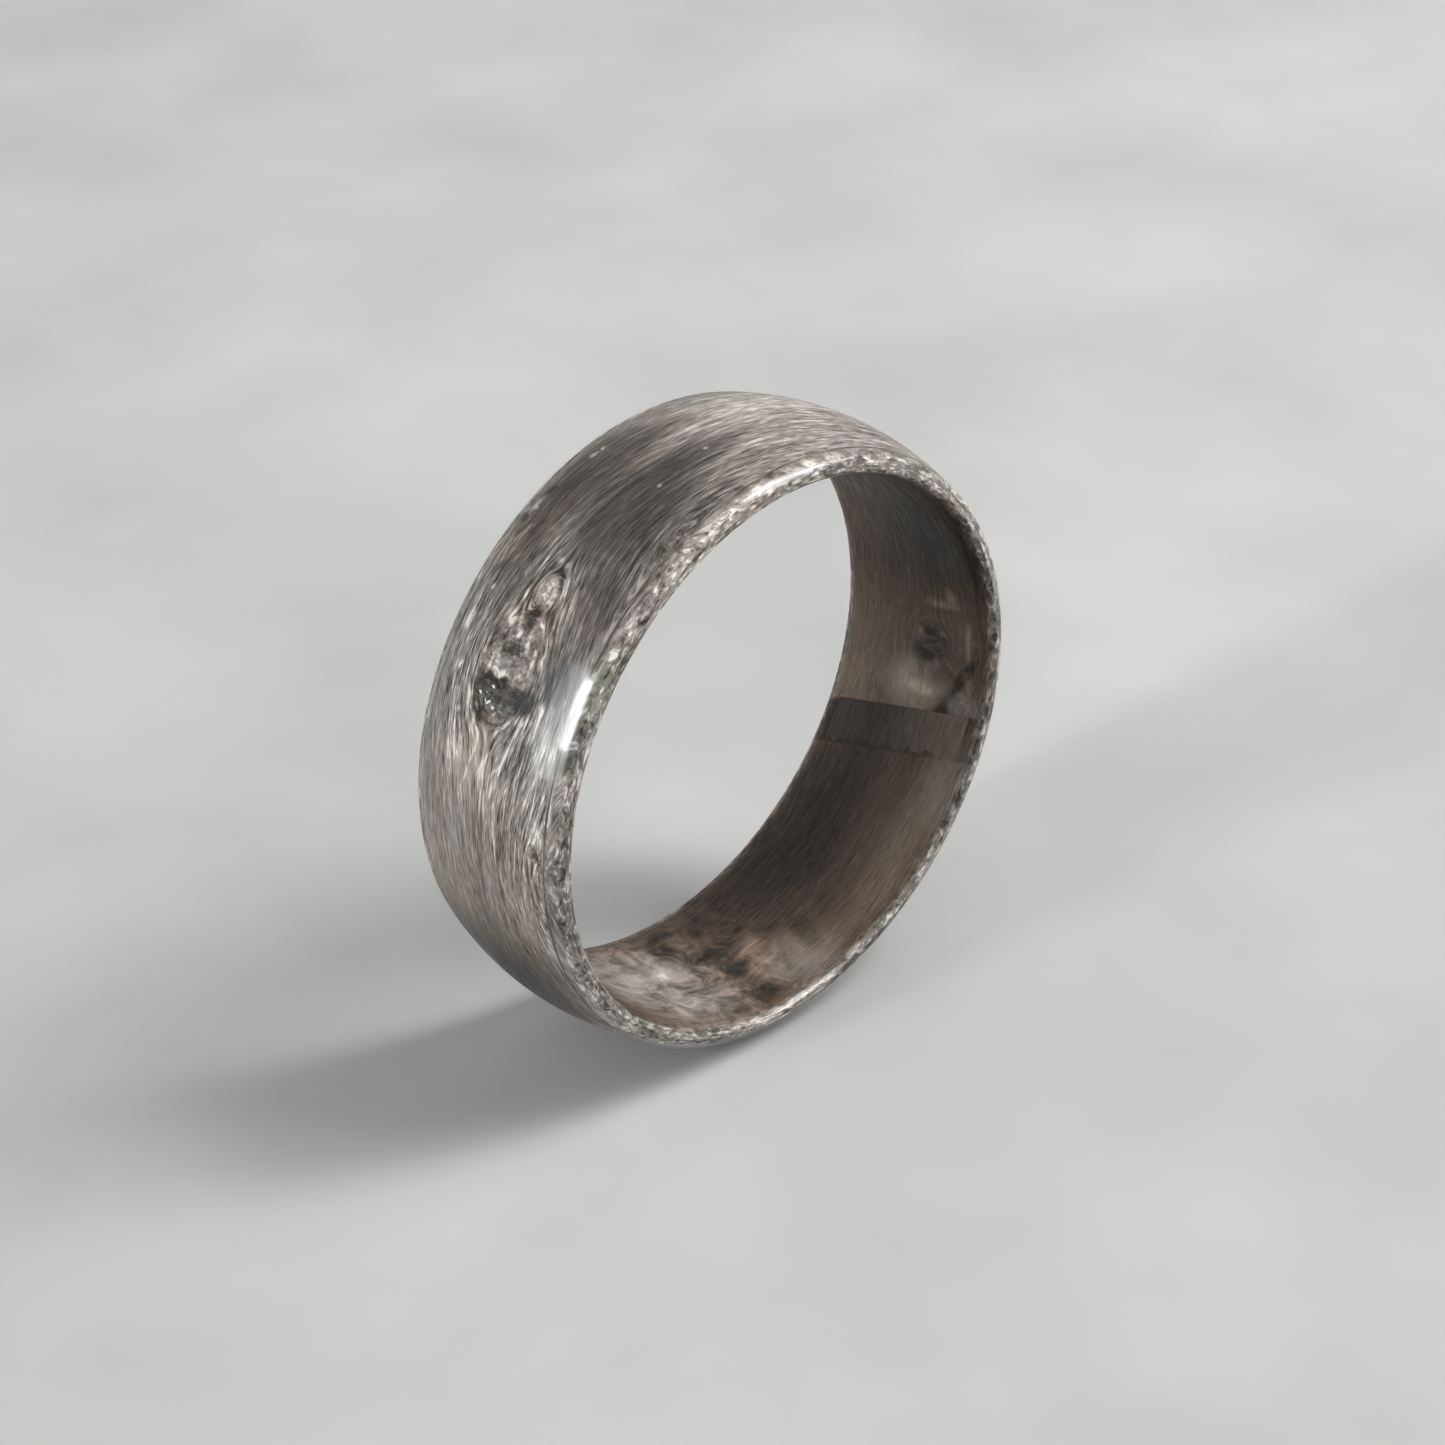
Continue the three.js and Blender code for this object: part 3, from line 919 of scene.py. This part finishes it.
def wood_noises(g, along, across, turn):
    """Noises drawn out along the grain, from broad bands to single fibres. Each turn of the strip
    has its own stretch of them."""
    layer = g.math("FLOOR", turn)
    strip_along = g.math("MULTIPLY_ADD", layer, GIRTH, along)
    strip_across = g.math("MULTIPLY_ADD", layer, 3.7, across)
    depth = g.math("MULTIPLY", turn, PITCH)

    def fibres(length, width, detail=2.0, roughness=0.55, wander=0.0):
        vector = g.join(g.math("DIVIDE", strip_along, length), g.math("DIVIDE", strip_across, width),
                        g.math("DIVIDE", depth, width))
        return g.noise(vector, 1.0, detail, roughness, wander)

    drift_at = g.join(g.math("DIVIDE", strip_along, 6), g.math("DIVIDE", strip_across, 1.4), layer)
    return {
        "broad": fibres(8, 1.2, detail=3),
        "band": fibres(3.5, 0.30, detail=3, wander=0.3),
        "strand": fibres(1.35, 0.11, detail=3, roughness=0.6, wander=0.3),
        "thread": fibres(0.5, 0.055, detail=2, wander=0.15),
        "speck": fibres(0.42, 0.2, detail=4, roughness=0.65, wander=0.6),
        "patch": fibres(1.6, 0.5, detail=2),
        "drift": g.noise(drift_at, 1.0, 3.0, 0.6),
    }


def wood_figure(g, noises, near):
    """The pattern of the long fibres, stronger near a knot."""
    strand, thread = noises["strand"], noises["thread"]
    lines = g.add(strand, g.sway(thread, 1.1))
    pale_lines = g.spread(lines, 0.60, 0.68)
    dark_lines = g.spread(lines, 0.40, 0.33)
    return g.add(
        g.sway(noises["broad"], 0.35), g.sway(noises["band"], 0.45),
        g.math("MULTIPLY", g.sway(strand, 0.9), g.math("MULTIPLY_ADD", near, 1.0, 0.8)),
        g.sway(thread, 0.9),
        g.math("MULTIPLY", pale_lines, g.math("MULTIPLY_ADD", near, 0.10, 0.14)),
        g.math("MULTIPLY", dark_lines, g.math("MULTIPLY_ADD", near, -0.10, -0.10)),
    )


def end_fibres(g, noises):
    """The speckle of cut fibres on a side face."""
    speck = noises["speck"]
    return g.add(
        -0.01, g.sway(speck, 1.7), g.sway(noises["patch"], 1.3),
        g.math("MULTIPLY", g.spread(speck, 0.54, 0.60), 0.22),
        g.math("MULTIPLY", g.spread(speck, 0.42, 0.36), -0.14),
    )


def wood_colour(g, value, drift, dark_bore):
    """The wood's colour from how light it is, warmer or cooler as it drifts, and browner in the
    dark stretch of the finger hole."""
    shade = g.ramp(
        value,
        (0.0, colour(25, 21, 18)), (0.12, colour(60, 54, 49)), (0.27, colour(86, 80, 74)),
        (0.46, colour(122, 114, 108)), (0.70, colour(156, 148, 142)), (1.0, colour(214, 208, 201)),
    )
    warm = g.mix(1.0, shade, colour(255, 242, 228), "MULTIPLY")
    brown = g.mix(1.0, shade, colour(255, 228, 205), "MULTIPLY")
    cool = g.mix(1.0, shade, colour(248, 255, 248), "MULTIPLY")
    shade = g.mix(g.spread(drift, -0.1, 0.5), shade, warm)
    shade = g.mix(g.spread(drift, -0.1, -0.4), shade, cool)
    return g.mix(dark_bore, shade, brown)


def wood_material():
    """Weathered grey veneer: dark and pale fibres along the grain, broken into short dashes, with
    warmer and cooler stretches, knots, and speckled end fibres on the sides."""
    g = Graph("weathered_grey_wood")
    noises = wood_noises(g, *g.split(g.attribute("grain")))
    tone, near, warmth = g.split(g.attribute("look"))
    marks, bore, side = g.split(g.attribute("parts"))
    heart = g.split(g.attribute("knots"))[0]
    strand, band = noises["strand"], noises["band"]

    # inside a knot the fibres give way to a mottle, fine outside and cloudy in the finger hole
    where = g.node("TexCoord").outputs["Object"]
    curl = g.noise(where, 5.5 / MM, 3.0, 0.65, 0.6)
    fine_mottle = g.add(g.sway(curl, 1.7), g.sway(band, 0.3))
    clouds = g.add(g.sway(g.noise(where, 1.0 / MM, 5.0, 0.68, 0.9), 2.0), g.sway(band, 0.3))
    mottle = g.blend(bore, fine_mottle, clouds)
    # dark wood is smooth and even, pale wood is the most streaked
    lively = g.math("MULTIPLY_ADD", g.math("MINIMUM", tone, 0.05), 1.6, 0.95)
    lively = g.blend(bore, lively, 0.26)
    figure = g.math("MULTIPLY", wood_figure(g, noises, near), lively)
    figure = g.blend(g.math("MULTIPLY", heart, 0.9), figure, mottle)
    torn = g.math("SUBTRACT", g.blend(heart, strand, curl), 0.5)
    ragged_marks = g.math("MULTIPLY", marks, g.math("MULTIPLY_ADD", torn, 1.6, 1.0))
    value = g.add(0.44, tone, g.blend(side, figure, end_fibres(g, noises)), ragged_marks)

    drift = g.add(g.sway(noises["drift"], 1.6), warmth, g.math("MULTIPLY", side, -0.10))
    dark_bore = g.math("MULTIPLY", bore, g.spread(tone, 0.0, -0.25))
    rough = g.add(g.sway(strand, 1.0), g.sway(noises["thread"], 0.8))
    height = g.math("MULTIPLY", g.blend(heart, rough, curl), lively)
    wood = g.node("BsdfPrincipled", {
        "Base Color": wood_colour(g, value, drift, dark_bore),
        "Roughness": g.spread(strand, 0.3, 0.7, 0.62, 0.42),
        "Specular IOR Level": BARE_SPECULAR,
        "Normal": g.bump(height, 0.012 * MM, 0.8),
    })
    return g.finish(wood.outputs[0])


def filler_material(name, length, width, dark, light, roughness, bump, flecked=False, pale=None):
    """A filler or a glue: grains of two shades, drawn out along the strip, blended with a third
    shade as far as the piece says."""
    g = Graph(name)
    along, across, depth = g.split(g.attribute("grain"))
    where = g.join(g.math("DIVIDE", along, length), g.math("DIVIDE", across, width),
                   g.math("DIVIDE", depth, width))
    coarse = g.noise(where, 1.0, 4.0, 0.6, 0.3)
    fine = g.noise(where, 4.0, 2.0, 0.6)
    grain = g.add(coarse, g.sway(fine, 0.5))
    shade = g.ramp(g.spread(grain, 0.3, 0.72), (0.0, dark), (1.0, light))
    if pale:
        blanch = g.split(g.attribute("look"))[2]
        shade = g.mix(g.add(blanch, g.math("MULTIPLY", blanch, g.sway(coarse, 2.0))), shade, pale)
    if flecked:
        fleck, towards, _ = g.split(g.attribute("look"))
        ashen = g.mix(1.0, shade, colour(150, 146, 132), "ADD")
        ashen_side = g.spread(g.add(towards, g.sway(coarse, 1.2)), 0.6, 0.95)
        shade = g.mix(g.math("MULTIPLY", ashen_side, 0.25), shade, ashen)
        # pale specks on the filler, partly painted glints
        glint_fleck = g.spread(g.math("MULTIPLY", fleck, g.add(0.7, fine)), 0.25, 0.7)
        shade = g.mix(glint_fleck, shade, colour(216, 212, 204))
    shader = g.node("BsdfPrincipled", {
        "Base Color": shade,
        "Roughness": g.spread(coarse, 0.3, 0.7, roughness + 0.12, roughness - 0.08),
        "Specular IOR Level": BARE_SPECULAR,
        "Normal": g.bump(grain, bump * MM, 0.6),
    })
    return g.finish(shader.outputs[0])


def polish_material(name, roughness, haze, strongest):
    """The finished side of a clear coat, which only adds its reflections: sharp ones, with a soft
    haze round them from hand polishing, that never grow stronger than a given share."""
    g = Graph(name)
    where = g.node("TexCoord").outputs["Object"]
    smear = g.noise(where, 0.5 / MM, 3.0, 0.6)
    facing_out = g.math("SUBTRACT", 1.0, g.node("NewGeometry").outputs["Backfacing"])
    mirror = g.math("MINIMUM", g.node("Fresnel", {"IOR": CLEAR_IOR}).outputs[0], strongest)
    mirror = g.math("MULTIPLY", mirror, facing_out)
    ripple = g.bump(g.noise(where, 1.1 / MM, 2.0, 0.5), 0.004 * MM, 0.5)
    gloss = [
        g.node("BsdfGlossy", {
            "Color": (1, 1, 1, 1), "Roughness": g.spread(smear, 0.3, 0.7, low, high), "Normal": ripple,
        }).outputs[0]
        for low, high in (roughness, haze)
    ]
    both = g.node("MixShader", {0: HAZE_SHARE, 1: gloss[0], 2: gloss[1]}).outputs[0]
    clear = g.node("BsdfTransparent", {"Color": (1, 1, 1, 1)}).outputs[0]
    return g.finish(g.node("MixShader", {0: mirror, 1: clear, 2: both}).outputs[0])


def bonded_material():
    """The side of a clear coat that is bonded to the wood, where nothing reflects."""
    g = Graph("clear_coat_bonded")
    return g.finish(g.node("BsdfTransparent", {"Color": (1, 1, 1, 1)}).outputs[0])


# ---------------------------------------------------------------- the piece list

paint_wood = wood_material()
paint_glue = filler_material(
    "glue_line", 1.6, 0.3, colour(54, 47, 42), colour(112, 103, 94), 0.4, 0.002)
paint_dust = filler_material(
    "wood_dust_filler", 0.9, 0.12, colour(25, 20, 16), colour(46, 37, 30), 0.6, 0.003,
    pale=colour(138, 123, 111))
paint_dark = filler_material(
    "dark_knot_filler", 0.16, 0.26, colour(30, 27, 26), colour(86, 80, 75), 0.55, 0.010,
    flecked=True)
paint_polished = polish_material("clear_coat_polished", (0.06, 0.14), (0.26, 0.36), 0.16)
paint_satin = polish_material("clear_coat_satin", (0.05, 0.11), (0.30, 0.40), 0.03)
paint_bonded = bonded_material()

make_wood().data.materials.append(paint_wood)
make_glue().data.materials.append(paint_glue)
for fill in (make_inner_fill(), make_outer_fill()):
    fill.data.materials.append(paint_dust)
for plug in PLUGS:
    make_plug(plug).data.materials.append(paint_dark)
for coat, paint_finished in ((make_outer_coat(), paint_polished), (make_bore_coat(), paint_satin)):
    coat.data.materials[0] = paint_finished
    coat.data.materials[1] = paint_bonded


# ---------------------------------------------------------------- stage, lights and camera

VIEW_AZIMUTH = math.radians(-44.72)
VIEW_ELEVATION = math.radians(31.17)
VIEW_DISTANCE = 116.3
VIEW_SLIDE = (0.0728, -0.0734)  # the band's centre sits a little off the middle of the picture
VIEW_LENS = 87.2
FLOOR_HALF = 2.0  # metres
SKYLIGHT = (0.82, 0.94, 1.0)  # the lights' colours
DAYLIGHT = (0.97, 0.99, 1.0)
SKY_LOW = 0.34  # how bright the surroundings are from a little under the horizon, and overhead
SKY_HIGH = 0.56
SKY_EDGE = -0.2
# Soft lights: direction from the band, distance, width and height (metres), watts, and colour.
LIGHTS = {
    "window_left": ((-0.928, 0.074, 0.366), 0.5, 0.045, 0.20, 1.1, DAYLIGHT),
    "wall_left": ((-0.955, 0.11, 0.275), 0.52, 0.17, 0.36, 0.85, SKYLIGHT),
    "window_right": ((0.56, -0.42, 0.70), 0.5, 0.28, 0.42, 2.5, DAYLIGHT),
    "window_right_sun": ((0.56, -0.42, 0.70), 0.49, 0.09, 0.30, 1.3, DAYLIGHT),
}

back = Vector((math.sin(VIEW_AZIMUTH) * math.cos(VIEW_ELEVATION),
               -math.cos(VIEW_AZIMUTH) * math.cos(VIEW_ELEVATION), math.sin(VIEW_ELEVATION)))
turn = back.to_track_quat("Z", "Y")
right = turn @ Vector((1, 0, 0))
up = turn @ Vector((0, 1, 0))


def make_camera():
    """The photo's point of view."""
    camera = bpy.data.objects.new("camera", bpy.data.cameras.new("camera"))
    camera.data.lens = VIEW_LENS
    camera.data.sensor_width = 36
    camera.data.clip_start = 0.01
    camera.rotation_euler = turn.to_euler()
    camera.location = (back * VIEW_DISTANCE + right * VIEW_SLIDE[0] + up * VIEW_SLIDE[1]) * MM
    bpy.context.scene.collection.objects.link(camera)
    bpy.context.scene.camera = camera


def make_floor():
    """The plain pale surface that the band stands on."""
    mesh = bpy.data.meshes.new("floor")
    corners = [(-1, -1), (1, -1), (1, 1), (-1, 1)]
    points = [(x * FLOOR_HALF, y * FLOOR_HALF, -CROWN * MM) for x, y in corners]
    mesh.from_pydata(points, [], [(0, 1, 2, 3)])
    floor = bpy.data.objects.new("floor", mesh)
    bpy.context.scene.collection.objects.link(floor)
    g = Graph("pale_floor")
    where = g.node("TexCoord").outputs["Object"]
    cloud = g.noise(where, 60.0, 3.0, 0.5)
    shade = g.ramp(cloud, (0.3, colour(158, 157, 155)), (0.7, colour(171, 170, 168)))
    floor_shader = g.node("BsdfPrincipled", {
        "Base Color": shade, "Roughness": 0.85, "Specular IOR Level": 0.1,
    })
    mesh.materials.append(g.finish(floor_shader.outputs[0]))


def make_softbox(name, direction, distance, width, height, watts, tint):
    """A soft rectangular light that faces the band."""
    light = bpy.data.lights.new(name, "AREA")
    light.shape = "RECTANGLE"
    light.size = width
    light.size_y = height
    light.energy = watts
    light.color = tint
    lamp = bpy.data.objects.new(name, light)
    lamp.location = Vector(direction).normalized() * distance
    lamp.rotation_euler = Vector(direction).to_track_quat("Z", "Y").to_euler()
    bpy.context.scene.collection.objects.link(lamp)


def make_sky():
    """Even grey light from all round, a little stronger from overhead."""
    world = bpy.data.worlds.new("soft_grey")
    world.use_nodes = True
    tree = world.node_tree
    height = tree.nodes.new("ShaderNodeSeparateXYZ")
    level = tree.nodes.new("ShaderNodeMapRange")
    level.inputs["From Min"].default_value = SKY_EDGE
    level.inputs["To Min"].default_value = SKY_LOW
    level.inputs["To Max"].default_value = SKY_HIGH
    tree.links.new(tree.nodes.new("ShaderNodeTexCoord").outputs["Generated"], height.inputs[0])
    tree.links.new(height.outputs[2], level.inputs[0])
    tree.links.new(level.outputs[0], tree.nodes["Background"].inputs["Color"])
    bpy.context.scene.world = world


make_camera()
make_floor()
make_sky()
for name, light in LIGHTS.items():
    make_softbox(name, *light)
bpy.context.scene.view_settings.view_transform = "Standard"
